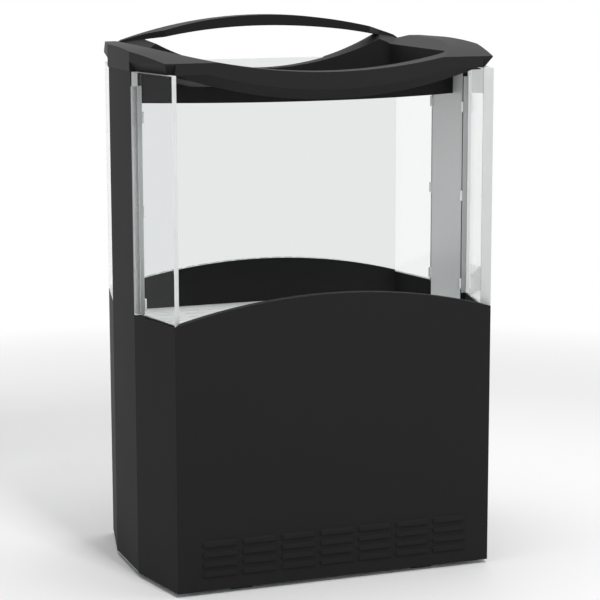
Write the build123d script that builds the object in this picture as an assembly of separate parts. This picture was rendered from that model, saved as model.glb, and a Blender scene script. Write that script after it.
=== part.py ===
"""Open-front refrigerated merchandiser: eight-sided cabinet, glass sides, canopy on two posts.

Millimetres. X to the right, Y to the back, Z up; the origin is on the floor under the middle.
"""
from build123d import *
from math import cos, hypot, pi, sin
import os

# ---- plan of the cabinet: flat front and back, four slanted facets, two side posts ----
flat_half = 450.0        # half width of the flat front
facet_step = 47.0        # each post stands out past the flat front's end
side_half = flat_half + facet_step
half_depth = 327.0       # front or back face to the middle
post_half = 109.0        # half width of a post, front to back
post_depth = 35.0        # post, outside to inside
rim_depth = 24.0         # double wall of the panels above the deck
skin = 1.5               # painted sheet
fit = 0.3                # clearance between separate pieces

# ---- heights ----
foot_height = 12.0
cabinet_height = 718.0   # facet tops above the cabinet's underside
arch_rise = 63.0         # front and rear panels, above the facet tops
deck_drop = 64.0         # deck below the facet tops
glass_height = 648.0
glass_thick = 24.0

body_z = foot_height
rim_z = body_z + cabinet_height
deck_z = rim_z - deck_drop
glass_z = rim_z + glass_height

# ---- louvres ----
louvre_columns = 7
louvre_rows = 4
louvre_pitch_x = 110.5
louvre_pitch_z = 27.3
louvre_width = 101.0
louvre_height = 14.5
louvre_round = 10.0
louvre_stand = 5.5       # how far a hood stands out
louvre_slope = 38.0      # degrees
louvre_lift = 40.0       # lowest row above the underside
louvre_wall = 1.2

# ---- base and feet ----
pan_thick = 3.0
pan_flange = 25.0
foot_size = 65.0
foot_x = 262.0
foot_inset = 60.0        # foot centre behind the front face
foot_round = 8.0

# ---- deck and tub ----
deck_sheet = 1.5
deck_edge = 20.0         # depth of the folded edge
deck_gap = 1.0           # between the two panels
deck_slot_length = 58.0
deck_slot_width = 6.0
deck_slot_pitch_x = 82.0
deck_slot_pitch_y = 46.0
tub_depth = 246.0
tub_wall = 30.0
rail_size = 30.0
rail_wall = 2.0
rail_y = 150.0

# ---- jambs, clips and liners ----
jamb_thick = 4.0
jamb_drop = 38.0         # jamb stops this far below the glass top
jamb_clear = 8.0         # liner stops this far short of the post's corners
liner_sheet = 1.5
clip_count = 3
clip_pitch = 0.386 * glass_height
clip_first = 11.0        # lowest clip above the facet top
clip_width = 12.0
clip_height = 30.0
clip_depth = 5.0
clip_round = 3.0

# ---- canopy ----
canopy_setback = 28.0    # front lip behind the cabinet's front face
canopy_over = 3.0        # overhang past the posts and facets
canopy_wall = 4.0
trough_end = 82.0        # heights above the glass top: crown's trough at the posts
trough_middle = -1.0
hump_front = 30.0        # crown's limit at the front lip
hump_top = 61.0          # crown's highest level
hump_y = 100.0           # where it is reached
shoulder_y = 235.0       # where the crown turns down to the rear corners
corner_rise = 33.0       # crown at the rear corners
lip_droop = 74.0         # lip's lowest point below the glass top
lip_undercut_z = 27.0
lip_undercut_y = 25.0
side_undercut = 14.0
arch_top = 126.0         # rear arch's peak
arch_shoulder = 61.0     # rear arch where it bends down to the corners
arch_shoulder_half = 411.0
eye_half = 354.0
eye_tip = 63.0           # heights of the gap's corners, top and bottom
eye_top = 96.0
eye_bottom = -26.0
well_half = 360.0        # opening in the crown
well_front = 247.0
well_front_corner = 222.0
well_rear = 248.0
well_rear_corner = 191.0
well_round = 30.0
arch_board_half = 300.0  # upright's front corners
arch_board_front = 200.0
arch_tip_y = 255.0       # upright's front beside the gap's corners
arch_flare = 0.3         # fall of the arch's ends towards the front
arch_flare_run = 130.0
roof_drop = 38.0         # roof pan's underside below the glass top
roof_sheet = 2.0

# ---- valance, lamp and air outlet ----
valance_height = 51.0
valance_half_y = 150.0   # half depth in the middle
valance_end_y = 38.0     # half depth at the ends
valance_frame = 12.0
comb_depth = 12.0
comb_y = 45.0
comb_width = 44.0
comb_length = 720.0
comb_slot = 8.0
comb_web = 2.0
lamp_y = 42.0
lamp_width = 44.0
lamp_thick = 8.0
lamp_body_thick = 14.0

# ---- condensing unit ----
compressor_radius = 78.0
compressor_height = 175.0
compressor_x = -255.0
compressor_y = 60.0
compressor_dome = 43.0
seam_stand = 4.0
seam_height = 5.0
seam_lift = 87.0
terminal_depth = 30.0
terminal_width = 56.0
terminal_height = 60.0
terminal_lift = 26.0
terminal_round = 6.0
terminal_neck = 40.0
neck_depth = 12.0
plate_thick = 4.0
grommet_radius = 11.0
grommet_height = 14.0
condenser_width = 330.0
condenser_height = 190.0
condenser_thick = 50.0
condenser_x = 95.0
condenser_front = 60.0   # coil face behind the front skin
coil_fin = 2.0
coil_fin_pitch = 8.0
coil_core = 12.0
shroud_depth = 45.0
shroud_sheet = 2.0
fan_radius = 84.0
fan_gap = 4.0
fan_hub_radius = 20.0
fan_hub_length = 26.0
fan_blades = 5
fan_blade_thick = 2.0
fan_chord = 52.0
fan_pitch = 32.0         # degrees
shaft_radius = 4.0
shaft_gap = 0.05
motor_radius = 34.0
motor_length = 60.0
motor_round = 5.0
shaft_past = 2.0         # shaft beyond the hub
bracket_width = 48.0
bracket_depth = 30.0
bracket_foot_width = 76.0
bracket_foot_depth = 42.0
bracket_bridge = 12.0    # metal left under the motor
tube_radius = 4.8
tube_bend = 14.4
discharge_lift = 120.0   # heights above the base pan
discharge_drop = 30.0    # below the condenser's top
drier_radius = 12.0
drier_length = 90.0
drier_chamfer = 6.0
drier_lift = 30.0
drier_gap = 80.0         # drier's end to the condenser
tub_hole_out = 30.0      # tubes pass the tub's floor beyond the evaporator's end
tub_hole_apart = 30.0
capillary_drop = 60.0    # level run below the tub
capillary_lift = 40.0    # joint above the evaporator's foot
suction_drop = 102.0
suction_lift = 70.0
drain_radius = 9.0
drain_wall = 2.0
drain_collar = 4.0
drip_length = 260.0
drip_width = 200.0
drip_height = 40.0
drip_wall = 2.0
drip_round = 15.0
drip_x = side_half - 197.0
drip_y = 95.0

# ---- evaporator ----
evap_width = 520.0
evap_height = 130.0
evap_thick = 110.0
evap_y = 60.0
evap_fan_x = 150.0
evap_fan_radius = 55.0
evap_frame = 124.0
evap_frame_depth = 26.0
evap_hub_radius = 17.0
evap_hub_length = 14.0
evap_chord = 34.0
evap_fan_gap = 2.0
evap_arm_width = 6.0
evap_arm_thick = 4.0

# ---- controls on the back ----
box_width = 150.0
box_height = 110.0
box_depth = 70.0
box_wall = 2.0
box_x = 40.0
box_lift = 215.0         # above the base pan
box_rim = 8.0            # round the opening in the rear panel
plate_set = 27.0         # control plate inside the rear panel's face
thermostat_size = 36.0
thermostat_depth = 24.0
knob_radius = 18.0
knob_length = 16.0
knob_stem_radius = 3.0
knob_stem_past = 6.0     # stem inside the thermostat
knob_chamfer = 1.5
knob_flutes = 12
flute_radius = 1.8
mark_width = 1.6
mark_depth = 1.2
mark_length = 14.4
knob_side = 40.0         # knob and switch either side of the box's middle
switch_width = 14.0
switch_height = 24.0
switch_bezel = 3.0
switch_wall = 2.5
rocker_stand = 2.5
rocker_radius = 11.7
rocker_depth = 6.0
rocker_tip = 10.0        # degrees, at rest
trunnion_radius = 1.5
trunnion_reach = 1.5     # pocket for each trunnion in the switch's wall
inlet_x = 190.0
inlet_width = 48.0
inlet_height = 28.0
inlet_depth = 30.0
inlet_flange = 2.0
inlet_flange_side = 7.0
inlet_flange_top = 3.0
inlet_wall = 5.5
inlet_shoulder = 11.0    # body beside the mouth
inlet_floor = 10.0
blade_width = 2.0
blade_height = 5.0
blade_length = 16.0
blade_apart = 7.0
blade_step = 4.0

# ---- screws ----
screw_radius = 5.0
screw_head = 2.4
screw_inset = 22.0
screw_round = 1.8
screw_rows = 4
bracket_screw_y = 65.0

CORNERS = [
    (-flat_half, -half_depth), (flat_half, -half_depth),
    (side_half, -post_half), (side_half, post_half),
    (flat_half, half_depth), (-flat_half, half_depth),
    (-side_half, post_half), (-side_half, -post_half),
]
FRONT, RIGHT_FRONT, RIGHT_POST, RIGHT_REAR, REAR, LEFT_REAR, LEFT_POST, LEFT_FRONT = range(8)


# ---------------------------------------------------------------- plan helpers
def side_line(side, inset):
    """A point on one side moved inwards by inset, and the side's direction."""
    (x0, y0), (x1, y1) = CORNERS[side], CORNERS[(side + 1) % 8]
    length = hypot(x1 - x0, y1 - y0)
    dx, dy = (x1 - x0) / length, (y1 - y0) / length
    return (x0 - dy * inset, y0 + dx * inset), (dx, dy)


def meet(side_a, inset_a, side_b, inset_b):
    """Where two moved sides cross."""
    (ax, ay), (ux, uy) = side_line(side_a, inset_a)
    (bx, by), (vx, vy) = side_line(side_b, inset_b)
    t = ((bx - ax) * vy - (by - ay) * vx) / (ux * vy - uy * vx)
    return (ax + ux * t, ay + uy * t)


def outline(flats, facets, posts):
    """The eight corners with the flat, slanted and post sides each moved inwards."""
    insets = [flats, facets, posts, facets, flats, facets, posts, facets]
    return [meet(i - 1, insets[i - 1], i, insets[i]) for i in range(8)]


def prism(points, low, high):
    face = make_face(Polyline(*points, close=True))
    return extrude(face, high - low, dir=(0, 0, 1)).moved(Pos(0, 0, low))


def wall(side, outer, inner, low, high):
    """A mitred stretch of wall along one side, between two insets."""
    after, before = (side + 1) % 8, (side - 1) % 8
    points = [
        meet(before, outer, side, outer), meet(side, outer, after, outer),
        meet(side, inner, after, inner), meet(before, inner, side, inner),
    ]
    return prism(points, low, high)


def block(x_size, y_size, z_size, x, y, z_low):
    return Pos(x, y, z_low) * Box(x_size, y_size, z_size, align=(Align.CENTER, Align.CENTER, Align.MIN))


def rod(radius, length, x, y, z_low):
    bottom = (Align.CENTER, Align.CENTER, Align.MIN)
    return Pos(x, y, z_low) * Cylinder(radius, length, align=bottom)


def rod_y(radius, y_low, y_high, x, z):
    """A cylinder along Y."""
    bottom = (Align.CENTER, Align.CENTER, Align.MIN)
    return Pos(x, y_low, z) * Rot(-90, 0, 0) * Cylinder(radius, y_high - y_low, align=bottom)


def across(profile_edges, y_low, y_high):
    """A closed profile drawn in X and Z, made solid between two Y values."""
    face = make_face(Plane.XZ * profile_edges)
    return extrude(face, y_high - y_low, dir=(0, 1, 0)).moved(Pos(0, y_low, 0))


# ---------------------------------------------------------------- cabinet panels
def arched_blank(y_low, y_high, half, low):
    """A board whose top rises in one arc from the facet tops."""
    edges = Curve() + [
        Polyline((half, rim_z), (half, low), (-half, low), (-half, rim_z)),
        ThreePointArc((-half, rim_z), (0, rim_z + arch_rise), (half, rim_z)),
    ]
    return across(edges, y_low, y_high)


def louvre_outline(margin):
    """Front view of one hood about its mouth's middle; it runs on below the mouth."""
    half = louvre_width / 2 - margin
    top = louvre_height - margin
    round_off = louvre_round - margin
    low = -louvre_stand - margin
    return Curve() + [
        Polyline((-half, top - round_off), (-half, low), (half, low), (half, top - round_off)),
        RadiusArc((half, top - round_off), (half - round_off, top), -round_off),
        Line((half - round_off, top), (-half + round_off, top)),
        RadiusArc((-half + round_off, top), (-half, top - round_off), -round_off),
    ]


def louvre_pair():
    """One hood standing out along -Y, and the slot behind it."""
    outward, inward = (0, -1, 0), (0, 1, 0)
    face, inner = [make_face(Plane.XZ * louvre_outline(margin)) for margin in (0, louvre_wall)]
    outer = extrude(face, louvre_stand, dir=outward, taper=louvre_slope)
    hollow = extrude(inner, louvre_stand - louvre_wall, dir=outward, taper=louvre_slope)
    below = block(2 * louvre_width, 4 * louvre_stand, 3 * louvre_stand, 0, 0, -3 * louvre_stand)
    slot = extrude(inner, skin, dir=inward)
    return outer - hollow - below, slot - below


def louvre_places(columns):
    for column in columns:
        for row in range(louvre_rows):
            x = (column - (louvre_columns - 1) / 2) * louvre_pitch_x
            yield x, body_z + louvre_lift + row * louvre_pitch_z


def flat_panel(columns):
    """Front panel: a sheet with a double wall above the deck and pressed louvres below."""
    low_rim = deck_z - deck_edge
    sheet = arched_blank(-half_depth, -half_depth + skin, flat_half, body_z)
    sheet &= wall(FRONT, 0, skin, body_z, rim_z + 2 * arch_rise)
    rim = arched_blank(-half_depth, -half_depth + rim_depth, flat_half, low_rim)
    rim &= wall(FRONT, 0, rim_depth, low_rim, rim_z + 2 * arch_rise)
    hood, slot = louvre_pair()
    spots = [Pos(x, -half_depth, z) for x, z in louvre_places(columns)]
    return sheet + rim - [spot * slot for spot in spots] + [spot * hood for spot in spots]


def facet_panel(side):
    """A slanted side panel: a sheet with a double wall above the deck."""
    return wall(side, 0, skin, body_z, rim_z) + wall(side, 0, rim_depth, deck_z - deck_edge, rim_z)


def post(side):
    """A closed box section from the base pan to the canopy."""
    sign = 1 if side == RIGHT_POST else -1
    low = body_z + pan_thick
    x = sign * (side_half - post_depth / 2)
    hollow = block(post_depth - 2 * skin, 2 * liner_half(), glass_z - low, x, 0, low)
    return wall(side, 0, post_depth, low, glass_z) - hollow


def liner_half():
    """Half the liner's width: it stops short of the jambs."""
    return post_half - jamb_clear


def liner(sign):
    x = sign * (side_half - post_depth - liner_sheet / 2)
    return block(liner_sheet, 2 * liner_half(), roof_level() - roof_sheet - deck_z, x, 0, deck_z)


# ---------------------------------------------------------------- glass
def facet_glass(side, post_side):
    """A thick slab on the facet's rim, mitred at the front corner, short of the post by the jamb."""
    return wall(side, 0, glass_thick, rim_z, glass_z) - jamb_space(side, post_side, glass_z)


def jamb_space(side, post_side, top):
    """The last few millimetres of a facet's wall, next to the post's mitred end."""
    origin = meet(side, 0, post_side, 0)
    inner = meet(side, post_depth, post_side, post_depth)
    _, (dx, dy) = side_line(side, 0)
    toward = -jamb_thick if post_side == (side + 1) % 8 else jamb_thick
    shift = (dx * toward, dy * toward)
    points = [origin, (origin[0] + shift[0], origin[1] + shift[1]),
              (inner[0] + shift[0], inner[1] + shift[1]), inner]
    return prism(points, rim_z, top)


def rear_glass():
    """The back pane stands behind the rear panel's arch, in the rim's thickness."""
    inner = half_depth - glass_thick
    pane = wall(REAR, 0, glass_thick, rim_z, glass_z)
    return pane - arched_blank(inner, half_depth, flat_half, body_z)


# ---------------------------------------------------------------- base
def base_pan():
    """The floor of the machine room, turned up at the front and the back."""
    plate = prism(outline(skin, skin, 0), body_z, body_z + pan_thick)
    flange = [wall(side, skin, skin + pan_thick, body_z, body_z + pan_thick + pan_flange)
              for side in (FRONT, REAR)]
    return plate + flange


def foot_pads():
    pad = fillet(block(foot_size, foot_size, foot_height, 0, 0, 0).edges().filter_by(Axis.Z), foot_round)
    y = half_depth - foot_inset
    return Compound([Pos(sx * foot_x, sy * y, 0) * pad for sx in (-1, 1) for sy in (-1, 1)])


def tub_rails():
    """Two square tubes from post to post under the tub."""
    length = 2 * (side_half - post_depth)
    z = tub_low() - rail_size
    tube = block(length, rail_size, rail_size, 0, 0, z)
    tube -= block(length, rail_size - 2 * rail_wall, rail_size - 2 * rail_wall, 0, 0, z + rail_wall)
    return Compound([Pos(0, sy * rail_y, 0) * tube for sy in (-1, 1)])


# ---------------------------------------------------------------- tub and deck
def tub_low():
    return deck_z - deck_edge - tub_depth


def chamber_outline(extra=0.0):
    rim = rim_depth + fit + extra
    return outline(rim, rim, post_depth + liner_sheet + fit + extra)


def insulated_tub():
    """The cold chamber under the deck, open at the top, with holes for the drain and two tubes."""
    shell = prism(chamber_outline(), tub_low(), tub_low() + tub_depth)
    shell -= prism(chamber_outline(tub_wall), tub_low() + tub_wall, tub_low() + tub_depth)
    shell -= rod(drain_radius, tub_wall, drip_x, drip_y, tub_low())
    for x, y in tub_tube_holes():
        shell -= rod(tube_radius + fit, tub_wall, x, y, tub_low())
    return shell


def tub_tube_holes():
    """The capillary tube's and the suction tube's way through the floor."""
    x = -evap_width / 2 - tub_hole_out
    return [(x, evap_y - tub_hole_apart / 2), (x, evap_y + tub_hole_apart / 2)]


def deck_panel(sign):
    """A folded, slotted tray that lifts out."""
    low = deck_z - deck_edge
    tray = prism(chamber_outline(), low, deck_z)
    tray -= prism(chamber_outline(deck_sheet), low, deck_z - deck_sheet)
    half = block(side_half, 2 * half_depth, 2 * deck_edge, sign * (side_half + deck_gap) / 2, 0, low)
    inner_lip = block(deck_sheet, 2 * (half_depth - rim_depth - fit), deck_edge,
                      sign * (deck_gap + deck_sheet) / 2, 0, low)
    panel = (tray & half) + inner_lip
    slot = extrude(SlotOverall(deck_slot_length, deck_slot_width), 3 * deck_sheet)
    reach_x = side_half - post_depth - tub_wall - deck_slot_length / 2
    reach_y = half_depth - rim_depth - tub_wall - deck_slot_width
    columns = int((reach_x - deck_slot_length / 2 - deck_sheet) // deck_slot_pitch_x)
    rows = int(reach_y // deck_slot_pitch_y)
    cuts = []
    for column in range(columns + 1):
        x = sign * (reach_x - column * deck_slot_pitch_x)
        cuts += [Pos(x, row * deck_slot_pitch_y, deck_z - 2 * deck_sheet) * slot
                 for row in range(-rows, rows + 1)]
    return panel - cuts


# ---------------------------------------------------------------- jambs and clips
JAMB_SIDES = {
    "right_front": (RIGHT_FRONT, RIGHT_POST), "right_rear": (RIGHT_REAR, RIGHT_POST),
    "left_rear": (LEFT_REAR, LEFT_POST), "left_front": (LEFT_FRONT, LEFT_POST),
}


def jamb(side, post_side):
    return jamb_space(side, post_side, glass_z - jamb_drop)


def glass_clips():
    """Three small blocks up each jamb, on the strip that shows inside the glass."""
    clips = []
    for sx in (-1, 1):
        for sy in (-1, 1):
            x = sx * (side_half - post_depth - liner_sheet - clip_depth / 2)
            y = sy * (post_half - clip_width / 2)
            for step in range(clip_count):
                z = rim_z + clip_first + step * clip_pitch
                piece = block(clip_depth, clip_width, clip_height, x, y, z)
                clips.append(fillet(piece.edges().filter_by(Axis.X), clip_round))
    return Compound(clips)


# ---------------------------------------------------------------- canopy
def canopy_outline(extra=0.0):
    return outline(canopy_setback + extra, extra - canopy_over, extra - canopy_over)


def along(profile_edges, half):
    """A closed profile drawn in Y and Z, made solid across the width."""
    face = make_face(Plane.YZ * profile_edges)
    return extrude(face, 2 * half, dir=(1, 0, 0)).moved(Pos(-half, 0, 0))


def under_trough(drop):
    """Everything below the crown's dip from post to post, lowered by drop."""
    half = side_half + 4 * canopy_over
    end, middle = glass_z + trough_end - drop, glass_z + trough_middle - drop
    low = glass_z - 2 * lip_droop
    edges = Curve() + [
        Polyline((half, end), (half, low), (-half, low), (-half, end)),
        ThreePointArc((-half, end), (0, middle), (half, end)),
    ]
    return across(edges, -half_depth, half_depth)


def under_hump(drop):
    """Everything below the crown's rise from the front lip to the back, lowered by drop."""
    face_y = half_depth - canopy_setback
    front, top = glass_z + hump_front - drop, glass_z + hump_top - drop
    corner, low = glass_z + corner_rise - drop, glass_z - 2 * lip_droop
    part_way = front + 0.75 * (top - front)
    edges = Curve() + [
        ThreePointArc((-face_y, front), (-(face_y - hump_y) / 2, part_way), (hump_y, top)),
        Polyline((hump_y, top), (shoulder_y, top), (face_y, corner), (face_y, low), (-face_y, low),
                 (-face_y, front)),
    ]
    return along(edges, side_half + 4 * canopy_over)


def under_crown(drop):
    return under_trough(drop) & under_hump(drop)


def lip_half():
    """Half the drooping lip's length: it stops inside the glass."""
    return meet(FRONT, canopy_setback, RIGHT_FRONT, glass_thick + fit)[0]


def under_lip():
    """Everything below the lip: level at the posts, drooping between the glass corners."""
    half, between = side_half + 4 * canopy_over, lip_half()
    low = glass_z - 3 * lip_droop
    edges = Curve() + [
        Polyline((between, glass_z), (half, glass_z), (half, low), (-half, low), (-half, glass_z),
                 (-between, glass_z)),
        ThreePointArc((-between, glass_z), (0, glass_z - lip_droop), (between, glass_z)),
    ]
    return across(edges, -half_depth, half_depth)


def well(extra, low, high):
    """The opening in the crown, grown outwards by extra."""
    half = well_half
    edges = Curve() + [
        ThreePointArc((-half, -well_front_corner), (0, -well_front), (half, -well_front_corner)),
        Line((half, -well_front_corner), (half, well_rear_corner)),
        ThreePointArc((half, well_rear_corner), (0, well_rear), (-half, well_rear_corner)),
        Line((-half, well_rear_corner), (-half, -well_front_corner)),
    ]
    face = fillet(make_face(edges).vertices(), well_round)
    if extra:
        face = offset(face, extra)
    return extrude(face, high - low, dir=(0, 0, 1)).moved(Pos(0, 0, low))


def eye(extra):
    """The eye-shaped gap under the rear arch, cut from the well to the back."""
    half = eye_half + 3 * extra
    tip = glass_z + eye_tip
    edges = Curve() + [
        ThreePointArc((-half, tip), (0, glass_z + eye_top + extra), (half, tip)),
        ThreePointArc((half, tip), (0, glass_z + eye_bottom - extra), (-half, tip)),
    ]
    return across(edges, well_rear_corner - 4 * well_round, half_depth)


def arch_profile():
    """The arch seen from behind: one arc that bends down to the rear corners."""
    half, bend = meet(REAR, canopy_setback, RIGHT_REAR, -canopy_over)[0], arch_shoulder_half
    shoulder, corner = glass_z + arch_shoulder, glass_z + corner_rise
    return Curve() + [
        Polyline((bend, shoulder), (half, corner), (half, glass_z), (-half, glass_z), (-half, corner),
                 (-bend, shoulder)),
        ThreePointArc((-bend, shoulder), (0, glass_z + arch_top), (bend, shoulder)),
    ]


def arch():
    """The upright behind the well, and the sloping ends that carry it down to the crown."""
    back = half_depth - canopy_setback
    half = meet(REAR, canopy_setback, RIGHT_REAR, -canopy_over)[0]
    plan = [(half, back), (eye_half, arch_tip_y), (arch_board_half, arch_board_front)]
    plan += [(-x, y) for x, y in reversed(plan)]
    board = across(arch_profile(), 0, back) & prism(plan, glass_z, glass_z + arch_top)
    face = make_face(Plane.XZ * arch_profile()).moved(Pos(0, back, 0))
    flare = extrude(face, arch_flare_run, dir=(0, -1, -arch_flare))
    return board + (flare & prism(canopy_outline(), glass_z, glass_z + arch_top))


def side_undercuts():
    """Space under the nose line along the facets and at the lip's ends; the posts keep their width."""
    low, high = glass_z, glass_z + lip_undercut_z
    lower = outline(canopy_setback + lip_undercut_y, side_undercut, -canopy_over)
    rings = [make_face(Pos(0, 0, z) * Polyline(*points, close=True))
             for z, points in ((low, lower), (high, canopy_outline()))]
    space = prism(canopy_outline(-canopy_over), low, high) - loft(rings, ruled=True)
    space -= block(2 * lip_half(), 2 * half_depth, 2 * lip_undercut_z, 0, 0, low)
    return space - block(4 * side_half, 2 * post_half, 2 * lip_undercut_z, 0, 0, low)


def lip_undercut(solid, y):
    """Slope one face inwards below the nose line."""
    low = [edge for edge in solid.edges().filter_by(GeomType.CIRCLE)
           if abs(edge.center().Y - y) < fit and edge.center().Z < glass_z - fit][0]
    face = solid.faces().filter_by(Axis.Y).sort_by_distance(low.center())[0]
    return chamfer(low, lip_undercut_z, lip_undercut_y, reference=face)


def undercut_backing():
    """Plastic kept behind the undercut of the facets."""
    low, high = glass_z, glass_z + lip_undercut_z + canopy_wall
    core = outline(canopy_setback, side_undercut + canopy_wall, -canopy_over)
    band = prism(canopy_outline(), low, high) - prism(core, low, high)
    return band - block(4 * side_half, 2 * (post_half - canopy_wall), 2 * lip_undercut_z, 0, 0, low)


def canopy():
    """One hollow moulding: crown, drooping lip, well, and the arch behind it."""
    low, high = glass_z - lip_droop, glass_z + arch_top
    solid = prism(canopy_outline(), low, high) & under_crown(0)
    solid -= under_lip()
    face_y = half_depth - canopy_setback
    solid = lip_undercut(lip_undercut(solid, -face_y), face_y)
    solid = solid + arch() - side_undercuts()
    roof_top = glass_z - roof_drop + roof_sheet
    solid -= well(0, low, high)
    solid -= eye(0)
    flats, sides = canopy_setback + lip_undercut_y + canopy_wall, canopy_wall - canopy_over
    hollow = prism(outline(flats, sides, sides), low, high)
    hollow = (hollow & under_crown(canopy_wall)) - undercut_backing()
    hollow -= well(canopy_wall, roof_top, high)
    hollow -= eye(canopy_wall)
    return solid - hollow


def roof_level():
    """Top of the roof pan's flange, just under the crown's lowest place."""
    return glass_z + trough_middle - canopy_wall - fit


def roof_pan():
    """The sheets that close the display space: the well's floor, and four strips round it."""
    high = roof_level()
    flats = canopy_setback + lip_undercut_y + canopy_wall
    ring = prism(outline(flats, glass_thick + fit, post_depth), high - roof_sheet, high)
    ring = ring - well(canopy_wall + fit, high - roof_sheet, high) - eye(canopy_wall + fit)
    side = side_half - well_half
    sides = [ring & block(side, 2 * half_depth, 4 * roof_sheet, s * (well_half + side / 2), 0, high - roof_sheet)
             for s in (-1, 1)]
    ends = [ring & block(2 * well_half, half_depth, 4 * roof_sheet, 0, s * half_depth / 2, high - roof_sheet)
            for s in (-1, 1)]
    floor = well(canopy_wall, glass_z - roof_drop, glass_z - roof_drop + roof_sheet)
    return Compound([floor] + [solid for strip in sides + ends for solid in strip.solids()])


def canopy_brackets():
    """A plate on each post's top inside the crown."""
    x = side_half - post_depth / 2
    width, length = post_depth - 2 * canopy_wall, 2 * post_half - 4 * canopy_wall
    return Compound([block(width, length, plate_thick, s * x, 0, glass_z) for s in (-1, 1)])


# ---------------------------------------------------------------- valance
def valance_low():
    return glass_z - roof_drop - valance_height


def valance_half_x():
    return side_half - post_depth - liner_sheet


def valance_box(inset, low, high):
    """Bowed front and back, straight ends."""
    half, end_y, middle_y = valance_half_x() - inset, valance_end_y - inset, valance_half_y - inset
    edges = Curve() + [
        ThreePointArc((-half, -end_y), (0, -middle_y), (half, -end_y)),
        Line((half, -end_y), (half, end_y)),
        ThreePointArc((half, end_y), (0, middle_y), (-half, end_y)),
        Line((-half, end_y), (-half, -end_y)),
    ]
    return extrude(make_face(edges), high - low, dir=(0, 0, 1)).moved(Pos(0, 0, low))


def valance_housing():
    """A trough under the roof pan that rises at both ends, with slots for the air and the light."""
    low, high = valance_low(), glass_z - roof_drop
    top = roof_level() - roof_sheet
    trough = valance_box(0, low, high) - valance_box(skin, low + skin, high)
    trough -= block(comb_length, comb_width, 2 * skin, 0, -comb_y, low - skin)
    trough -= block(comb_length, lamp_width, 2 * skin, 0, lamp_y, low - skin)
    rise = valance_box(0, high, top) - valance_box(skin, high, top) - well(canopy_wall + fit, high, top)
    return Compound([trough] + rise.solids())


def honeycomb():
    """The air outlet: a plate with narrow slots, seated on the housing's floor."""
    frame = 2 * valance_frame / 3
    low = valance_low() + skin
    plate = block(comb_length + frame, comb_width + frame, comb_depth, 0, -comb_y, low)
    pitch = comb_slot + comb_web
    count = int(comb_length // pitch)
    first = -(count - 1) * pitch / 2
    cell = Box(comb_slot, (comb_width - 3 * comb_web) / 2, 2 * comb_depth)
    shift = (comb_width + comb_web) / 4
    cells = [Pos(first + i * pitch, -comb_y + side * shift, low + comb_depth / 2) * cell
             for i in range(count) for side in (-1, 1)]
    return plate - cells


def lamp_diffuser():
    """An opal strip in the housing's floor, held by its edges."""
    frame = valance_frame / 2
    low = valance_low() + skin
    flange = block(comb_length + frame, lamp_width + frame, lamp_thick / 2, 0, lamp_y, low)
    return flange + block(comb_length - fit, lamp_width - fit, skin + lamp_thick / 4, 0, lamp_y, low - skin)


def lamp_body():
    low = valance_low() + skin + lamp_thick / 2
    strip = block(comb_length - 2 * valance_frame, lamp_width / 2, lamp_body_thick, 0, lamp_y, low)
    return fillet(strip.edges().filter_by(Axis.X).group_by(Axis.Z)[-1], lamp_body_thick / 4)


# ---------------------------------------------------------------- condensing unit
def floor_z():
    return body_z + pan_thick


def grommet_places():
    """Under the four corners of the compressor's plate."""
    reach = compressor_radius - grommet_radius
    return [(compressor_x + sx * reach, compressor_y + sy * reach) for sx in (-1, 1) for sy in (-1, 1)]


def compressor_mounts():
    return Compound([rod(grommet_radius, grommet_height, x, y, floor_z()) for x, y in grommet_places()])


def compressor():
    """A welded steel pot on a four-cornered plate."""
    z = floor_z() + grommet_height
    side = 2 * compressor_radius
    plate = block(side, side, plate_thick, compressor_x, compressor_y, z)
    plate = fillet(plate.edges().filter_by(Axis.Z), grommet_radius)
    pot = rod(compressor_radius, compressor_height, compressor_x, compressor_y, z + plate_thick)
    pot = fillet(pot.edges().filter_by(GeomType.CIRCLE).group_by(Axis.Z)[-1], compressor_dome)
    seam = rod(compressor_radius + seam_stand, seam_height, compressor_x, compressor_y, z + seam_lift)
    return plate + pot + seam


def terminal_cover():
    """A small box over the terminals, fitted to the pot's side."""
    x = compressor_x - compressor_radius - terminal_depth / 2
    z = floor_z() + grommet_height + plate_thick + terminal_lift
    cover = block(terminal_depth, terminal_width, terminal_height, x, compressor_y, z)
    cover = fillet(cover.edges().filter_by(Axis.X), terminal_round)
    neck_z = z + (terminal_height - terminal_neck) / 2
    neck = block(neck_depth, terminal_neck, terminal_neck, x + terminal_depth / 2, compressor_y, neck_z)
    return cover + neck - compressor()


def coil(width, height, thick, x, y, z):
    """A finned coil: a comb of plates on a solid core, with end plates."""
    body = block(width, thick, height, x, y, z)
    gap = coil_fin_pitch - coil_fin
    count = int((width - 2 * coil_fin_pitch) // coil_fin_pitch)
    first = x - (count - 1) * coil_fin_pitch / 2
    depth = (thick - coil_core) / 2
    cuts = [block(gap, depth, height, first + i * coil_fin_pitch, y + s * (thick - depth) / 2, z)
            for i in range(count) for s in (-1, 1)]
    return body - cuts


def condenser_y():
    return -half_depth + skin + condenser_front + condenser_thick / 2


def condenser_coil():
    return coil(condenser_width, condenser_height, condenser_thick, condenser_x, condenser_y(), floor_z())


def fan_axis_z():
    return floor_z() + condenser_height / 2


def shroud_back():
    return condenser_y() + condenser_thick / 2 + shroud_depth


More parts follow.
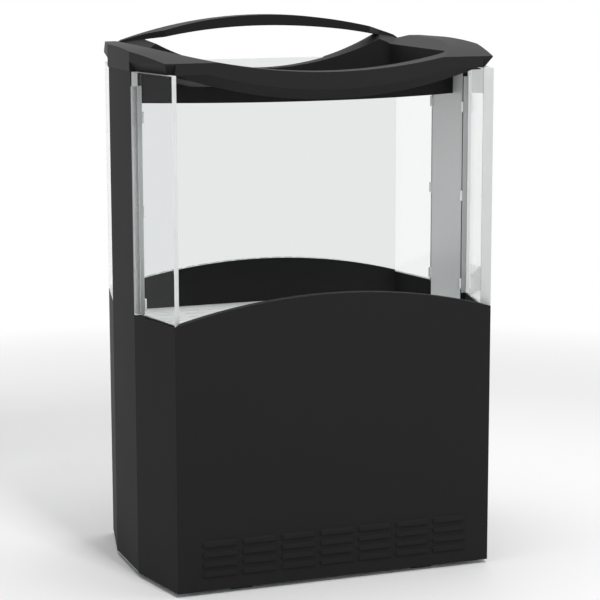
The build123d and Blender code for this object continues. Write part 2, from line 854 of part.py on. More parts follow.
def fan_shroud():
    """A hood behind the coil that draws down to the fan's ring."""
    front = condenser_y() + condenser_thick / 2
    z = floor_z()
    hood = block(condenser_width, shroud_depth, condenser_height, condenser_x, front + shroud_depth / 2, z)
    inner = block(condenser_width - 2 * shroud_sheet, shroud_depth, condenser_height - 2 * shroud_sheet,
                  condenser_x, front + shroud_depth / 2 - shroud_sheet, z + shroud_sheet)
    mouth = rod_y(fan_radius + fan_gap, front, front + 2 * shroud_depth, condenser_x, fan_axis_z())
    ring = rod_y(fan_radius + fan_gap + shroud_sheet, shroud_back(), shroud_back() + fan_hub_length,
                 condenser_x, fan_axis_z())
    return hood - inner + ring - mouth


def propeller(radius, hub_radius, hub_length, chord, bore):
    """A hub along Z with twisted paddles; the bore takes the motor shaft."""
    hub = Cylinder(hub_radius, hub_length)
    hub = fillet(hub.edges().filter_by(GeomType.CIRCLE), min(3.0, hub_length / 5))
    reach = radius - hub_radius / 2
    paddle = RectangleRounded(reach, chord, min(reach, chord) * 0.3)
    blade = extrude(paddle, fan_blade_thick / 2, both=True)
    blade = Rot(fan_pitch, 0, 0) * blade
    blade = Pos(hub_radius / 2 + reach / 2, 0, 0) * blade
    ring = [Rot(0, 0, 360 * i / fan_blades) * blade for i in range(fan_blades)]
    limit = Cylinder(radius, 4 * hub_length)
    slab = Box(4 * radius, 4 * radius, hub_length)
    return ((hub + ring) & limit & slab) - Cylinder(bore, 4 * hub_length)


def fan_place(x, y, z):
    return Pos(x, y, z) * Rot(-90, 0, 0)


def fan_y():
    return shroud_back() + fan_hub_length / 2


def condenser_fan():
    bore = shaft_radius + shaft_gap
    fan = propeller(fan_radius, fan_hub_radius, fan_hub_length, fan_chord, bore)
    return fan_place(condenser_x, fan_y(), fan_axis_z()) * fan


def fan_motor():
    """A round motor with its shaft forward through the fan's hub."""
    front = shroud_back() + fan_hub_length + fan_gap
    can = rod_y(motor_radius, front, front + motor_length, condenser_x, fan_axis_z())
    can = fillet(can.edges().filter_by(GeomType.CIRCLE), motor_round)
    return can + rod_y(shaft_radius, shroud_back() - shaft_past, front + motor_round, condenser_x, fan_axis_z())


def motor_bracket():
    """A stand from the base pan with a cradle under the motor."""
    y = shroud_back() + fan_hub_length + fan_gap + motor_length / 2
    stand = block(bracket_width, bracket_depth, fan_axis_z() - floor_z(), condenser_x, y, floor_z())
    stand += block(bracket_foot_width, bracket_foot_depth, plate_thick, condenser_x, y, floor_z())
    window = fan_axis_z() - floor_z() - motor_radius - bracket_bridge
    stand -= block(bracket_width - 2 * plate_thick, 2 * bracket_depth, window, condenser_x, y,
                   floor_z() + plate_thick)
    return stand - rod_y(motor_radius, y - motor_length, y + motor_length, condenser_x, fan_axis_z())


def tube(points):
    """A refrigerant tube along straight runs joined by bends."""
    path = FilletPolyline(*points, radius=tube_bend)
    start = Plane(origin=path @ 0, z_dir=path % 0)
    return sweep(start * Circle(tube_radius), path=path)


def pot_top():
    return floor_z() + grommet_height + plate_thick + compressor_height


def discharge_tube():
    """From the compressor's side to the top of the condenser."""
    x0 = compressor_x + compressor_radius
    z0, z1 = floor_z() + discharge_lift, floor_z() + condenser_height - discharge_drop
    x1 = condenser_x - condenser_width / 2
    middle = (x0 + x1) / 2
    points = [(x0, compressor_y, z0), (middle, compressor_y, z0), (middle, compressor_y, z1),
              (middle, condenser_y(), z1), (x1, condenser_y(), z1)]
    return tube(points)


def drier_place():
    """The drier's end nearer the condenser, and its height."""
    return condenser_x - condenser_width / 2 - drier_gap, condenser_y(), floor_z() + drier_lift


def liquid_tube():
    x, y, z = drier_place()
    return rod_x(tube_radius, x, condenser_x - condenser_width / 2, y, z)


def rod_x(radius, x_low, x_high, y, z):
    """A cylinder along X."""
    bottom = (Align.CENTER, Align.CENTER, Align.MIN)
    return Pos(x_low, y, z) * Rot(0, 90, 0) * Cylinder(radius, x_high - x_low, align=bottom)


def filter_drier():
    x, y, z = drier_place()
    body = rod_x(drier_radius, x - drier_length, x, y, z)
    return chamfer(body.edges().filter_by(GeomType.CIRCLE), drier_chamfer)


def coil_foot():
    return tub_low() + tub_wall


def capillary_tube():
    """From the drier, up the machine room and through the tub's floor to the evaporator."""
    x, y, z = drier_place()
    hole_x, hole_y = tub_tube_holes()[0]
    level, top = tub_low() - capillary_drop, coil_foot() + capillary_lift
    points = [(x - drier_length, y, z), (hole_x, y, z), (hole_x, y, level), (hole_x, hole_y, level),
              (hole_x, hole_y, top), (-evap_width / 2, hole_y, top)]
    return tube(points)


def suction_tube():
    """From the evaporator back down to the compressor's top."""
    hole_x, hole_y = tub_tube_holes()[1]
    level, top = tub_low() - suction_drop, coil_foot() + suction_lift
    points = [(compressor_x, hole_y, pot_top()), (compressor_x, hole_y, level), (hole_x, hole_y, level),
              (hole_x, hole_y, top), (-evap_width / 2, hole_y, top)]
    return tube(points)


def drip_tray():
    z = floor_z()
    tray = block(drip_length, drip_width, drip_height, drip_x, drip_y, z)
    tray = fillet(tray.edges().filter_by(Axis.Z), drip_round)
    size = 2 * drip_wall
    return tray - block(drip_length - size, drip_width - size, drip_height, drip_x, drip_y, z + drip_wall)


def drain_tube():
    """From the tub's floor into the drip tray."""
    low, high = floor_z() + drip_height / 2, coil_foot()
    pipe = rod(drain_radius - fit / 2, high - low, drip_x, drip_y, low)
    collar = rod(drain_radius + drain_collar, drain_collar, drip_x, drip_y, tub_low() - drain_collar)
    return pipe + collar - rod(drain_radius - drain_wall, high - low, drip_x, drip_y, low)


# ---------------------------------------------------------------- evaporator
def evaporator_coil():
    return coil(evap_width, evap_height, evap_thick, 0, evap_y, coil_foot())


def evap_fan_z():
    return coil_foot() + evap_frame / 2


def evap_face():
    return evap_y - evap_thick / 2


def evap_fan_frames():
    """Two square frames on the coil's face, each with a motor in the middle on four arms."""
    frames = []
    back = evap_face()
    for x in (-evap_fan_x, evap_fan_x):
        z = evap_fan_z()
        frame = block(evap_frame, evap_frame_depth, evap_frame, x, back - evap_frame_depth / 2, coil_foot())
        frame -= rod_y(evap_fan_radius + evap_fan_gap, back - 2 * evap_frame_depth, back + skin, x, z)
        motor_front = evap_fan_front() + evap_hub_length
        frame += rod_y(evap_hub_radius, motor_front, back, x, z)
        arm_y, span = back - evap_arm_thick / 2, evap_frame - evap_arm_thick
        frame += block(span, evap_arm_thick, evap_arm_width, x, arm_y, z - evap_arm_width / 2)
        frame += block(evap_arm_width, evap_arm_thick, span, x, arm_y, z - span / 2)
        frame += rod_y(shaft_radius, evap_fan_front(), motor_front, x, z)
        frames.append(frame)
    return Compound(frames)


def evap_fan_front():
    """Front end of the hub and its shaft, just inside the frame."""
    return evap_face() - evap_frame_depth + evap_fan_gap


def evap_fan(sign):
    length = evap_hub_length - fit
    fan = propeller(evap_fan_radius, evap_hub_radius, length, evap_chord, shaft_radius + shaft_gap)
    y = evap_fan_front() + length / 2
    return fan_place(sign * evap_fan_x, y, evap_fan_z()) * fan


# ---------------------------------------------------------------- controls
def control_z():
    return floor_z() + box_lift + box_height / 2


def plate_y():
    """Outer face of the control plate."""
    return half_depth - plate_set


def control_opening():
    width, height = box_width - 2 * box_rim, box_height - 2 * box_rim
    return block(width, 4 * skin, height, box_x, half_depth, control_z() - height / 2)


def control_box():
    """A box behind the rear panel, with a plate set in for the knob and the switch."""
    low = floor_z() + box_lift
    y = half_depth - skin - box_depth / 2
    shell = block(box_width, box_depth, box_height, box_x, y, low)
    width, height = box_width - 2 * box_wall, box_height - 2 * box_wall
    shell -= block(width, box_depth, height, box_x, y + box_wall, low + box_wall)
    plate = block(box_width, box_wall, box_height, box_x, plate_y() - box_wall / 2, low)
    x = box_x - knob_side
    stem = rod_y(knob_stem_radius + shaft_gap, plate_y() - 2 * box_wall, plate_y() + box_wall, x, control_z())
    window = block(switch_width, 2 * box_wall, switch_height, box_x + knob_side, plate_y() - box_wall / 2,
                   control_z() - switch_height / 2)
    return shell + plate - stem - window


def thermostat():
    """The switch block behind the plate, with a hole for the knob's stem."""
    x, z, front = box_x - knob_side, control_z(), plate_y() - box_wall
    y = front - thermostat_depth / 2
    body = block(thermostat_size, thermostat_depth, thermostat_size, x, y, z - thermostat_size / 2)
    body = fillet(body.edges().filter_by(Axis.Y), knob_stem_radius)
    return body - rod_y(knob_stem_radius + shaft_gap, front - knob_stem_past - box_wall, front + box_wall, x, z)


def thermostat_knob():
    """A fluted knob with a stem through the plate."""
    x, z, low = box_x - knob_side, control_z(), plate_y() + fit
    knob = rod_y(knob_radius, low, low + knob_length, x, z)
    knob = chamfer(knob.edges().filter_by(GeomType.CIRCLE).group_by(Axis.Y)[-1], knob_chamfer)
    flutes = []
    for i in range(knob_flutes):
        angle = 2 * pi * i / knob_flutes
        flute_x, flute_z = x + knob_radius * cos(angle), z + knob_radius * sin(angle)
        flutes.append(rod_y(flute_radius, low - fit, low + knob_length + fit, flute_x, flute_z))
    mark = block(mark_width, 2 * mark_depth, mark_length, x, low + knob_length, z + mark_width)
    return knob - flutes - mark + rod_y(knob_stem_radius, plate_y() - box_wall - knob_stem_past, low, x, z)


def switch_pocket():
    """Width of the pocket that holds the rocker."""
    return switch_width - 2 * switch_wall


def switch_frame():
    """A bezel and a pocket behind it, with a hole in each cheek for a trunnion."""
    x, y, z = box_x + knob_side, plate_y(), control_z()
    width, height = switch_width + 2 * switch_bezel, switch_height + 2 * switch_bezel
    bezel = block(width, box_wall, height, x, y + box_wall / 2, z - height / 2)
    depth, tall = 2.5 * rocker_depth, switch_height - fit
    inner = block(switch_width - fit, depth, tall, x, y - depth / 2, z - tall / 2)
    cavity_half = rocker_radius - fit
    cavity = block(switch_pocket(), 4 * rocker_depth, 2 * cavity_half, x, y, z - cavity_half)
    reach = switch_pocket() / 2 + trunnion_reach
    return bezel + inner - cavity - rod_x(trunnion_radius + shaft_gap, x - reach, x + reach, y, z)


def power_rocker():
    """A drum-shaped paw on two trunnions, tipped to one side."""
    x, y, z = box_x + knob_side, plate_y(), control_z()
    width = switch_pocket() - 2 * fit
    drum = rod_x(rocker_radius - 2 * fit, x - width / 2, x + width / 2, y, z)
    keep = block(width, rocker_depth + box_wall + rocker_stand, 3 * rocker_radius, x,
                 y + (box_wall + rocker_stand - rocker_depth) / 2, z - 1.5 * rocker_radius)
    reach = switch_pocket() / 2 + trunnion_reach - fit
    pin = rod_x(trunnion_radius, x - reach, x + reach, y, z)
    paw = Pos(0, -y, -z) * ((drum & keep) + pin)
    return Pos(0, y, z) * Rot(-rocker_tip, 0, 0) * paw


def power_inlet():
    """A flanged socket with three blades, flush in the rear panel."""
    z = control_z() - inlet_height / 2
    face, floor = half_depth + inlet_flange, half_depth - inlet_depth + inlet_floor
    body = block(inlet_width, inlet_depth, inlet_height, inlet_x, half_depth - inlet_depth / 2, z)
    flange_width, flange_height = inlet_width + 2 * inlet_flange_side, inlet_height + 2 * inlet_flange_top
    body += block(flange_width, inlet_flange, flange_height, inlet_x, face - inlet_flange / 2,
                  z - inlet_flange_top)
    mouth_width, mouth_height = inlet_width - 2 * inlet_shoulder, inlet_height - 2 * inlet_wall
    body -= block(mouth_width, face - floor, mouth_height, inlet_x, (face + floor) / 2, z + inlet_wall)
    middle = control_z() - blade_height / 2
    places = [(-blade_apart, 0), (blade_apart, 0), (0, blade_step)]
    return body + [block(blade_width, blade_length, blade_height, inlet_x + dx, floor + blade_length / 2,
                         middle + dz) for dx, dz in places]


def inlet_opening():
    return block(inlet_width + fit, 4 * skin, inlet_height + fit, inlet_x, half_depth,
                 control_z() - (inlet_height + fit) / 2)


def rear_panel():
    panel = Rot(0, 0, 180) * flat_panel(range(louvre_columns))
    return panel - control_opening() - inlet_opening()


# ---------------------------------------------------------------- screws
def button_head(x, z):
    """A low round head on the rear panel."""
    head = rod_y(screw_radius, half_depth, half_depth + screw_head, x, z)
    return fillet(head.edges().filter_by(GeomType.CIRCLE).group_by(Axis.Y)[-1], screw_round)


def rear_screws():
    """Button heads down both edges of the rear panel."""
    x = flat_half - screw_inset
    span = rim_z - screw_inset - body_z - 2 * screw_inset
    step = span / (screw_rows - 1)
    return Compound([button_head(s * x, body_z + screw_inset + step * i)
                     for s in (-1, 1) for i in range(screw_rows)])


def bracket_screws():
    """Heads that hold the canopy's plates on the posts."""
    x = side_half - post_depth / 2
    return Compound([rod(screw_radius, screw_head, sx * x, sy * bracket_screw_y, glass_z + plate_thick)
                     for sx in (-1, 1) for sy in (-1, 1)])


# ---------------------------------------------------------------- all parts
def build():
    parts = {
        "base_pan": base_pan(), "foot_pads": foot_pads(), "tub_rails": tub_rails(),
        "front_panel": flat_panel(range(louvre_columns)), "rear_panel": rear_panel(),
        "right_post": post(RIGHT_POST), "left_post": post(LEFT_POST),
        "right_liner": liner(1), "left_liner": liner(-1),
        "insulated_tub": insulated_tub(), "right_deck": deck_panel(1), "left_deck": deck_panel(-1),
        "rear_glass": rear_glass(), "glass_clips": glass_clips(),
        "canopy": canopy(), "roof_pan": roof_pan(), "canopy_brackets": canopy_brackets(),
        "valance_housing": valance_housing(), "air_honeycomb": honeycomb(),
        "lamp_diffuser": lamp_diffuser(), "lamp_body": lamp_body(),
        "compressor": compressor(), "compressor_mounts": compressor_mounts(),
        "terminal_cover": terminal_cover(), "condenser_coil": condenser_coil(), "fan_shroud": fan_shroud(),
        "condenser_fan": condenser_fan(), "fan_motor": fan_motor(), "motor_bracket": motor_bracket(),
        "discharge_tube": discharge_tube(), "liquid_tube": liquid_tube(), "filter_drier": filter_drier(),
        "capillary_tube": capillary_tube(), "suction_tube": suction_tube(),
        "drip_tray": drip_tray(), "drain_tube": drain_tube(),
        "evaporator_coil": evaporator_coil(), "evap_fan_frames": evap_fan_frames(),
        "right_evap_fan": evap_fan(1), "left_evap_fan": evap_fan(-1),
        "control_box": control_box(), "thermostat": thermostat(), "thermostat_knob": thermostat_knob(),
        "switch_frame": switch_frame(), "power_rocker": power_rocker(), "power_inlet": power_inlet(),
        "rear_panel_screws": rear_screws(), "bracket_screws": bracket_screws(),
    }
    for name, (side, post_side) in JAMB_SIDES.items():
        parts[name + "_facet"] = facet_panel(side)
        parts[name + "_glass"] = facet_glass(side, post_side)
        parts[name + "_jamb"] = jamb(side, post_side)
    return parts


def main():
    os.makedirs("parts", exist_ok=True)
    for name, shape in build().items():
        export_step(shape, f"parts/{name}.step")


if __name__ == "__main__":
    main()
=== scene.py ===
"""Open-front refrigerated merchandiser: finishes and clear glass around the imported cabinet.

Metres, +X to the right seen from the front, +Y to the back, +Z up; the floor is at z = 0.
"""
import math

import bpy
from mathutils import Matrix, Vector


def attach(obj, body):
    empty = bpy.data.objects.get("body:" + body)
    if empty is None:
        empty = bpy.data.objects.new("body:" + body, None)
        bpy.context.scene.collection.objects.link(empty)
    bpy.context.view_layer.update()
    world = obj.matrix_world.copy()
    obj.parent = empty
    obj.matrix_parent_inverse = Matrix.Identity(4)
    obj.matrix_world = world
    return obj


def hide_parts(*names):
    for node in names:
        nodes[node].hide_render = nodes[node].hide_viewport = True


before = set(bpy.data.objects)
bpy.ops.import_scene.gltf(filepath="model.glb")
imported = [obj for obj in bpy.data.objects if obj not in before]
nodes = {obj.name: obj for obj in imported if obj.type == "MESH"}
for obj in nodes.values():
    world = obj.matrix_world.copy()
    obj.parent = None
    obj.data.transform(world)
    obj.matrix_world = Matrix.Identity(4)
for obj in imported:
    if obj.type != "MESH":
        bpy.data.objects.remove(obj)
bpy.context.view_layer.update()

# ---------------------------------------------------------------- camera
# A long lens a little above the canopy, turned to the right, so that the left side shows. Its angles are
# in degrees, and its lens and sensor in millimetres.

camera_place = (-1.969, -5.3985, 1.752)
camera_turn = 20.20
camera_down = 10.18
camera_roll = 0.11
camera_lens = 124.9
camera_sensor = 36

bpy.ops.object.camera_add(location=camera_place)
camera = bpy.context.object
camera.name = "camera"
camera.rotation_euler = [math.radians(angle) for angle in (90 - camera_down, camera_roll, -camera_turn)]
camera.data.lens = camera_lens
camera.data.sensor_width = camera_sensor
bpy.context.scene.camera = camera
bpy.context.scene.view_settings.view_transform = "Standard"


# ---------------------------------------------------------------- floor, world and lamps
# A pale studio floor that runs on to a white surround. A small key lamp above the front draws the louvre
# hoods, with a weak fill on the right and a large soft lamp overhead.

def linear(code):
    """An sRGB hex colour as linear red, green, blue and alpha."""
    parts = [int(code[i:i + 2], 16) / 255 for i in (0, 2, 4)]
    return [c / 12.92 if c <= 0.04045 else ((c + 0.055) / 1.055) ** 2.4 for c in parts] + [1.0]


def put(tree, kind, given):
    """Adds a shader node. A given name is one of its sockets or settings, and a given socket is linked."""
    made = tree.nodes.new("ShaderNode" + kind)
    for name, value in given.items():
        if isinstance(name, str) and name not in made.inputs:
            setattr(made, name, value)
        elif isinstance(value, bpy.types.NodeSocket):
            tree.links.new(value, made.inputs[name])
        else:
            made.inputs[name].default_value = value
    return made


def new_material(name):
    """An empty node material and its tree."""
    material = bpy.data.materials.new(name)
    material.use_nodes = True
    material.node_tree.nodes.clear()
    return material, material.node_tree


world_strength = 0.45
floor_size = 60.0
floor_clear = 2.2
floor_fade = 3.5
lamp_aim = Vector((0, 0, 0.8))

# The surround is full white to the eye, in reflections and through glass, and weaker as a lamp.
world = bpy.data.worlds.new("surround")
bpy.context.scene.world = world
world.use_nodes = True
tree = world.node_tree
tree.nodes.clear()
path = put(tree, "LightPath", {})
direct = put(tree, "Math", {"operation": "MAXIMUM", 0: path.outputs["Is Camera Ray"],
                            1: path.outputs["Is Glossy Ray"]})
seen = put(tree, "Math", {"operation": "MAXIMUM", 0: direct.outputs[0],
                          1: path.outputs["Is Transmission Ray"]})
level = put(tree, "Mix", {"data_type": "FLOAT", 0: seen.outputs[0], 2: world_strength, 3: 1.0})
back = put(tree, "Background", {"Color": linear("FFFFFF"), "Strength": level.outputs[0]})
put(tree, "OutputWorld", {"Surface": back.outputs[0]})

# The floor is lit paper near the cabinet and fades to the surround's white between two distances.
bpy.ops.mesh.primitive_plane_add(size=floor_size, location=(0, 0, 0))
floor = bpy.context.object
floor.name = "floor"
material, tree = new_material("pale_studio_floor")
place = put(tree, "TexCoord", {})
reach = put(tree, "VectorMath", {"operation": "LENGTH", 0: place.outputs["Object"]})
fade = put(tree, "MapRange", {"Value": reach.outputs["Value"], "From Min": floor_clear,
                              "From Max": floor_fade})
lit = put(tree, "BsdfDiffuse", {"Color": linear("FBFBFB")})
bright = put(tree, "Emission", {"Color": linear("FFFFFF"), "Strength": 1.0})
either = put(tree, "MixShader", {"Fac": fade.outputs[0], 1: lit.outputs[0], 2: bright.outputs[0]})
put(tree, "OutputMaterial", {"Surface": either.outputs[0]})
floor.data.materials.append(material)

# Each lamp has its name, place, side and power in watts.
lamps = (("key", (0.3, -3.6, 4.6), 0.9, 120),
         ("fill", (3.6, -2.8, 2.6), 2.4, 16),
         ("over", (0.0, 0.6, 4.2), 3.0, 75))
for name, place, side, power in lamps:
    bpy.ops.object.light_add(type="AREA", location=place)
    lamp = bpy.context.object
    lamp.name = name
    lamp.data.size = side
    lamp.data.energy = power
    lamp.rotation_euler = (lamp_aim - Vector(place)).to_track_quat("-Z", "Y").to_euler()


# ---------------------------------------------------------------- base pan, rails and feet
# The floor of the machine room, the rails under the tub and the canopy's brackets are folded hot-dip
# galvanised sheet. The feet are moulded rubber pads under the pan.

def dress(names, material):
    """Gives CAD nodes one finish."""
    for name in names:
        nodes[name].data.materials.clear()
        nodes[name].data.materials.append(material)


def per_metre(size_mm):
    """A texture scale that gives features of a real size."""
    return 1000 / size_mm


# Every finish also drifts a little over broad patches, as large sheets and mouldings do.
patch_mm = 260
patch_detail = 3.0
share_low = 0.25
share_high = 0.75
relief_strength = 0.6


def surface(name, dark, light, rough, cell_mm, depth_mm, given=None, stretch=(1, 1, 1), kind="TexNoise"):
    """A finish: colour between two codes, roughness between two values and relief, from one pattern."""
    material, tree = new_material(name)
    place = put(tree, "TexCoord", {})
    turned = put(tree, "Mapping", {"Vector": place.outputs["Object"], "Scale": stretch})
    pattern = put(tree, kind, {"Vector": turned.outputs[0], "Scale": per_metre(cell_mm)})
    patches = put(tree, "TexNoise", {"Vector": place.outputs["Object"], "Scale": per_metre(patch_mm),
                                     "Detail": patch_detail})
    value = pattern.outputs["Color"] if kind == "TexVoronoi" else pattern.outputs[0]
    slow = put(tree, "Math", {"operation": "MULTIPLY", 0: patches.outputs[0], 1: 0.5})
    share = put(tree, "Math", {"operation": "MULTIPLY_ADD", 0: value, 1: 0.5, 2: slow.outputs[0]})
    colour = put(tree, "Mix", {"data_type": "RGBA", 0: share.outputs[0], 6: linear(dark), 7: linear(light)})
    dull = put(tree, "MapRange", {"Value": share.outputs[0], "From Min": share_low, "From Max": share_high,
                                  "To Min": rough[0], "To Max": rough[1]})
    relief = put(tree, "Bump", {"Height": pattern.outputs[0], "Distance": depth_mm / 1000,
                                "Strength": relief_strength})
    shader = put(tree, "BsdfPrincipled", {"Base Color": colour.outputs[2], "Roughness": dull.outputs[0],
                                          "Normal": relief.outputs[0], **(given or {})})
    put(tree, "OutputMaterial", {"Surface": shader.outputs[0]})
    return material


# Hot-dip zinc freezes in flat crystals about 12 mm across, each with its own grey.
zinc = surface("hot_dip_galvanised_steel", "8E9497", "BCC1C3", rough=(0.35, 0.55), cell_mm=12, depth_mm=0.02,
               given={"Metallic": 1.0}, kind="TexVoronoi")
dress(["base_pan", "tub_rails", "canopy_brackets", "bracket_screws"], zinc)

# Rubber is dull and very dark, with a mould texture drawn at 2 mm so that it shows.
rubber = surface("moulded_rubber", "171717", "242424", rough=(0.75, 0.9), cell_mm=2, depth_mm=0.15,
                 given={"Specular IOR Level": 0.3})
dress(["foot_pads", "compressor_mounts"], rubber)


# ---------------------------------------------------------------- cabinet panels and posts
# Folded steel sheet with a baked black powder coat. The louvre hoods are pressed out of the front and
# rear panels, and the posts are closed box sections from the pan to the canopy.

corners = ("right_front", "right_rear", "left_rear", "left_front")

# The coat is satin, with an orange peel of about 1 mm that is drawn at 5 mm so that it shows.
powder = surface("satin_black_powder_coat", "1E1E1E", "232323", rough=(0.55, 0.65), cell_mm=5, depth_mm=0.04,
                 given={"Specular IOR Level": 0.08})
dress(["front_panel", "rear_panel", "right_post", "left_post", "control_box"], powder)
dress([corner + "_facet" for corner in corners], powder)


# ---------------------------------------------------------------- tub, liners and deck
# The cold chamber and the posts' inner faces are lined with white enamelled sheet. Two slotted trays
# of the same sheet lie on the tub as the deck.

# Gloss enamel shows a faint waviness of the sheet, about 30 mm across, and little else.
enamel = surface("white_gloss_enamel", "E2E4E4", "EAECEC", rough=(0.35, 0.42), cell_mm=30, depth_mm=0.004)
dress(["right_liner", "left_liner", "insulated_tub"], enamel)

# The deck is the liners' sheet with painted light: its colour is painted brighter than theirs.
# The deck's enamel is more satin, with a fine orange peel drawn at 6 mm so that it shows.
lit_deck_enamel = surface("white_satin_enamel_painted_light", "EAECEC", "F4F5F5", rough=(0.4, 0.5), cell_mm=6, depth_mm=0.02)
dress(["right_deck", "left_deck"], lit_deck_enamel)


# ---------------------------------------------------------------- glass, jambs and clips
# Thick polished slabs stand on the facets' rims and behind the rear panel, with ground edges and small
# arrises. Each slab's inner end meets an anodised jamb strip, held by clear moulded clips.

def copy_of(node, name):
    """A merged copy of a CAD node's mesh as a piece of its own."""
    bpy.ops.object.select_all(action="DESELECT")
    piece = nodes[node].copy()
    piece.data = nodes[node].data.copy()
    piece.name = name
    piece.parent = None
    bpy.context.collection.objects.link(piece)
    piece.select_set(True)
    bpy.context.view_layer.objects.active = piece
    bpy.ops.object.mode_set(mode="EDIT")
    bpy.ops.mesh.select_all(action="SELECT")
    bpy.ops.mesh.remove_doubles(threshold=merge_reach)
    bpy.ops.mesh.dissolve_limited(angle_limit=flat_angle)
    bpy.ops.object.mode_set(mode="OBJECT")
    return piece


def round_edges(piece, width, segments, angle):
    """A bevel on every edge sharper than an angle in degrees."""
    bevel = piece.modifiers.new("bevel", "BEVEL")
    bevel.width = width
    bevel.segments = segments
    bevel.limit_method = "ANGLE"
    bevel.angle_limit = math.radians(angle)
    bpy.ops.object.modifier_apply(modifier="bevel")


def clear_pane(name, tint, bending):
    """Clear glass with a weak reflection, so that black shows black through it, and a clear shadow."""
    material, tree = new_material(name)
    path = put(tree, "LightPath", {})
    pane = put(tree, "BsdfPrincipled", {"Base Color": linear(tint), "Roughness": 0.0, "IOR": bending,
                                        "Specular Tint": linear(pane_glint), "Transmission Weight": 1.0})
    clear = put(tree, "BsdfTransparent", {"Color": linear(tint)})
    either = put(tree, "MixShader", {"Fac": path.outputs["Is Shadow Ray"], 1: pane.outputs[0],
                                     2: clear.outputs[0]})
    put(tree, "OutputMaterial", {"Surface": either.outputs[0]})
    return material


merge_reach = 0.00001
flat_angle = math.radians(0.2)
arris = 0.0015
arris_angle = 30
arris_segments = 2
end_area = 0.03
pane_glint = "101010"

# The left slabs are seen at a low angle, where bare glass turns grey, so their coating reflects least.
# The rear pane has a faint grey tint.
panes = {"right": clear_pane("polished_float_glass", "F6F7F7", bending=1.5),
         "left": clear_pane("coated_float_glass", "F6F7F7", bending=1.1),
         "rear": clear_pane("grey_tinted_float_glass", "E6E8E8", bending=1.25)}

# A ground edge scatters light: pale, neutral and matt, with a fine grinding grain drawn at 2 mm.
ground = surface("ground_glass_edge", "F6F8F8", "FCFDFD", rough=(0.3, 0.4), cell_mm=2, depth_mm=0.005,
                 given={"Specular IOR Level": 0.2, "Transmission Weight": 0.35})

# The faces smaller than end_area, in square metres, are a slab's ends and rims.
for node in [corner + "_glass" for corner in corners] + ["rear_glass"]:
    slab = copy_of(node, node + "_slab")
    slab.data.materials.clear()
    slab.data.materials.append(panes[node.split("_")[0]])
    slab.data.materials.append(ground)
    for face in slab.data.polygons:
        face.material_index = 1 if face.area < end_area else 0
    round_edges(slab, arris, arris_segments, arris_angle)
    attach(slab, "cabinet")
    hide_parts(node)

# Satin anodising with the faint upright lines of an extruded strip, drawn 3 mm apart so that they show.
anodised = surface("satin_anodised_aluminium", "9A9C9D", "B4B6B7", rough=(0.35, 0.5), cell_mm=3,
                   depth_mm=0.02, given={"Metallic": 0.6}, stretch=(1, 1, 0.02))
dress([corner + "_jamb" for corner in corners], anodised)

# Moulded clear acrylic reads as pale glossy lumps with faint flow marks.
clear_moulded = surface("clear_moulded_acrylic", "DDE1E1", "EDF0F0", rough=(0.15, 0.25), cell_mm=8,
                        depth_mm=0.02, given={"Coat Weight": 0.3})
dress(["glass_clips"], clear_moulded)


# ---------------------------------------------------------------- canopy and roof pan
# One hollow black ABS moulding on the two posts: a dished crown with an open well, a drooping lip with
# an undercut, and a rear arch over an eye-shaped gap. The roof pan under it is matt painted sheet.

# Moulded ABS has a fine spark-eroded grain, drawn at 3 mm so that it shows, and a satin sheen.
abs_grain = surface("grained_black_abs", "1F1F1F", "242424", rough=(0.5, 0.6), cell_mm=3, depth_mm=0.05,
                    given={"Specular IOR Level": 0.1})
dress(["canopy"], abs_grain)

# Matt paint has almost no sheen, and its black is painted darker as shade under the canopy.
# So the pan stays darker than the moulding over it.
shaded_matt_paint = surface("matt_black_paint_painted_shade", "161616", "1C1C1C", rough=(0.7, 0.85), cell_mm=4, depth_mm=0.03,
                     given={"Specular IOR Level": 0.08})
dress(["roof_pan"], shaded_matt_paint)


# ---------------------------------------------------------------- valance, lamp and air outlet
# A bowed black trough under the roof, with a slotted white air outlet in front and a lamp behind: an
# opal acrylic strip over an extruded aluminium body.

dress(["valance_housing"], powder)

# Moulded styrene is an even off-white with a soft sheen.
outlet = surface("white_moulded_styrene", "D0D3D3", "DEE0E0", rough=(0.45, 0.55), cell_mm=5, depth_mm=0.03)
dress(["air_honeycomb"], outlet)

# Light wanders inside opal acrylic, so its edges look soft.
opal = surface("opal_acrylic", "EEF0EE", "F8F9F8", rough=(0.3, 0.4), cell_mm=20, depth_mm=0.01,
               given={"Subsurface Weight": 0.3})
dress(["lamp_diffuser"], opal)

# Mill finish keeps the die's fine lines along the strip, drawn 2 mm apart so that they show.
mill = surface("mill_finish_aluminium", "A9ABAC", "C6C8C9", rough=(0.3, 0.45), cell_mm=2, depth_mm=0.02,
               given={"Metallic": 1.0}, stretch=(0.02, 1, 1))
dress(["lamp_body"], mill)


# ---------------------------------------------------------------- condensing unit
# A welded compressor with gloss black paint, a finned coil in a galvanised shroud, a pressed aluminium
# fan on a small motor, and copper tubes between them. The drip tray takes the evaporator's water.

dress(["fan_shroud", "motor_bracket"], zinc)

# Thick gloss paint on the welded shell lies in slow waves under a clear sheen.
gloss_paint = surface("gloss_black_enamel", "131313", "1A1A1A", rough=(0.18, 0.3), cell_mm=40, depth_mm=0.05,
                      given={"Coat Weight": 0.5})
dress(["compressor"], gloss_paint)

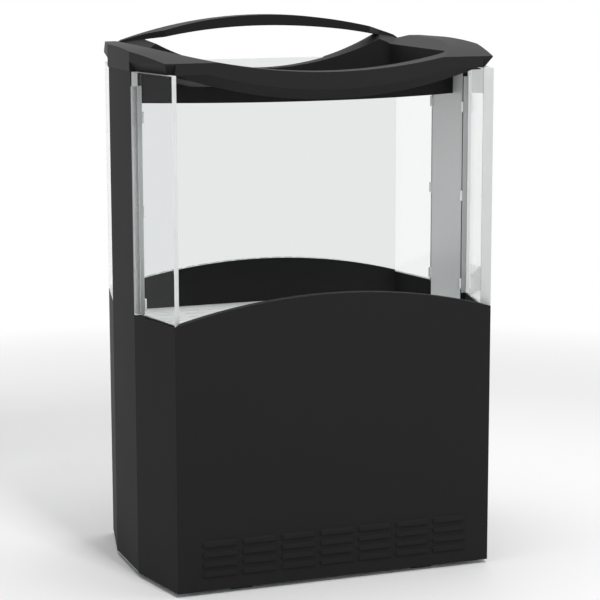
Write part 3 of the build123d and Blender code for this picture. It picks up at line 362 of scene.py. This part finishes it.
# The small black mouldings have a fine grain, drawn at 2 mm so that it shows.
moulded = surface("moulded_black_plastic", "1C1C1C", "272727", rough=(0.45, 0.6), cell_mm=2, depth_mm=0.05)
dress(["terminal_cover", "evap_fan_frames", "right_evap_fan", "left_evap_fan"], moulded)
dress(["thermostat", "thermostat_knob", "switch_frame", "power_inlet"], moulded)

# Thin fins catch the light in fine upright lines, 2 mm apart.
fins = surface("corrugated_fin_aluminium", "8D9092", "C4C7C8", rough=(0.3, 0.5), cell_mm=2, depth_mm=0.1,
               given={"Metallic": 1.0}, stretch=(1, 1, 0.05))
dress(["condenser_coil", "evaporator_coil"], fins)

# Pressed blades are bright, with soft marks of the press.
pressed = surface("pressed_aluminium", "A4A7A8", "C0C3C4", rough=(0.35, 0.5), cell_mm=6, depth_mm=0.03,
                  given={"Metallic": 1.0})
dress(["condenser_fan"], pressed)

# The motor's paint is a flat mid grey with a faint grain.
grey_paint = surface("grey_motor_paint", "5C6063", "6C7073", rough=(0.4, 0.55), cell_mm=3, depth_mm=0.05)
dress(["fan_motor"], grey_paint)

# Drawn copper darkens unevenly in patches along the tube.
copper = surface("drawn_copper", "8E4F35", "C98560", rough=(0.25, 0.45), cell_mm=14, depth_mm=0.01,
                 given={"Metallic": 1.0})
dress(["discharge_tube", "liquid_tube", "filter_drier", "capillary_tube", "suction_tube"], copper)

# Polypropylene is a waxy mid grey with little contrast.
tray = surface("grey_moulded_polypropylene", "8C9092", "9CA0A2", rough=(0.4, 0.55), cell_mm=5, depth_mm=0.04)
dress(["drip_tray", "drain_tube"], tray)


# ---------------------------------------------------------------- switch rocker and screws
# The rocker is polished ABS, the glossiest black of the part. The rear panel's screws are pan heads with
# a black zinc coat.

polished = surface("polished_black_abs", "101010", "181818", rough=(0.12, 0.2), cell_mm=10, depth_mm=0.01,
                   given={"Coat Weight": 0.4})
dress(["power_rocker"], polished)

# Black zinc is a dark metal with a dull sheen.
black_zinc = surface("black_zinc_plate", "262626", "383838", rough=(0.35, 0.5), cell_mm=2, depth_mm=0.03,
                     given={"Metallic": 0.8})
dress(["rear_panel_screws"], black_zinc)
